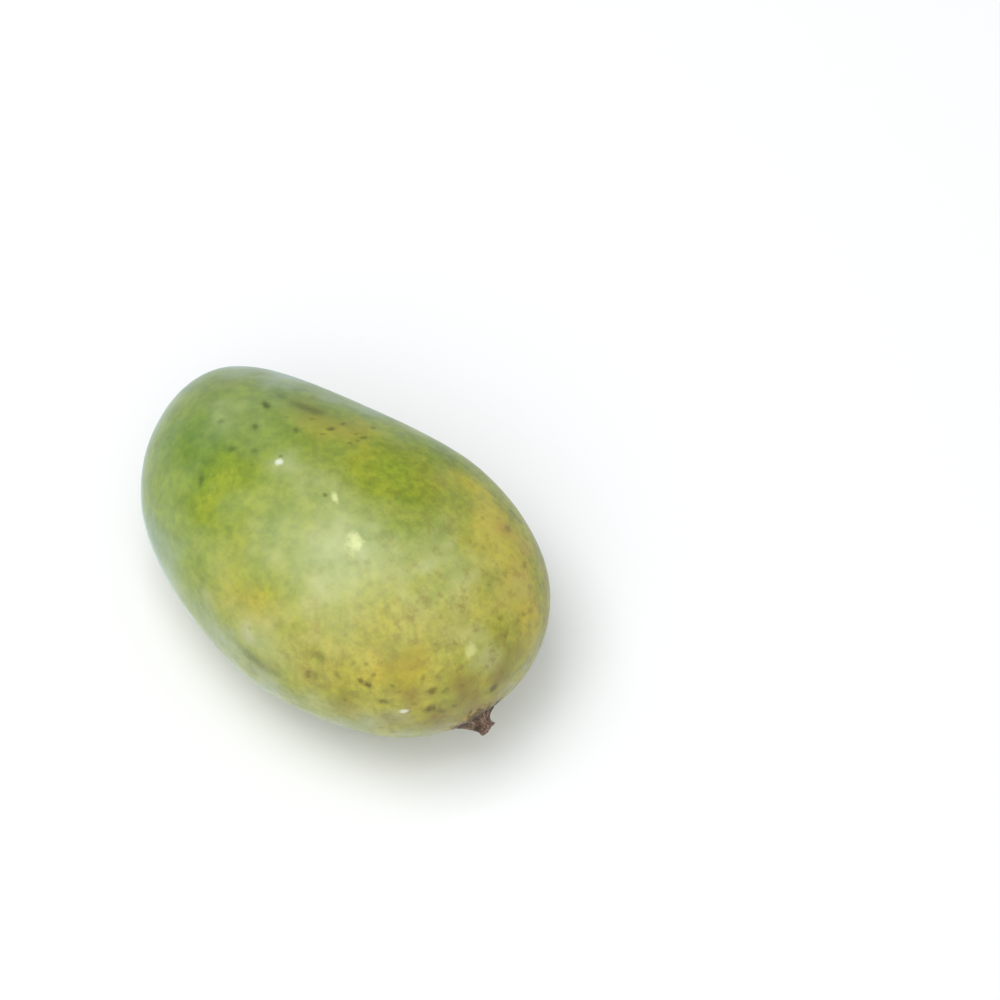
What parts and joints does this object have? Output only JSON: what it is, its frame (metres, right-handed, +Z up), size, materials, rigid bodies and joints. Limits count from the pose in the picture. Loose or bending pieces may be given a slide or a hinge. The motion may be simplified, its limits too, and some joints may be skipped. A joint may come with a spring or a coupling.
{
  "type": "mango",
  "caption": "Whole ripening mango lying on its cheek, green turning yellow, blotched and spotted skin, with a short broken stub of woody stalk.",
  "frame": {"origin": "middle of the whole's box seen from above, on the plane that the fruit rests on", "axes": "+X along the fruit from nose to stalk end, +Y towards its straighter edge, +Z up"},
  "size_m": [0.1312, 0.0868, 0.072],
  "materials": {
    "mango_skin": "smooth waxy fruit skin, satin, green turning yellow towards the stalk, with a pale bloom and dark specks",
    "stalk_bark": "rough dry grey-brown bark with a broken, fibrous end"
  },
  "bodies": {
    "root": {"fruit": "mango_skin", "stalk": "stalk_bark"}
  },
  "joints": []
}
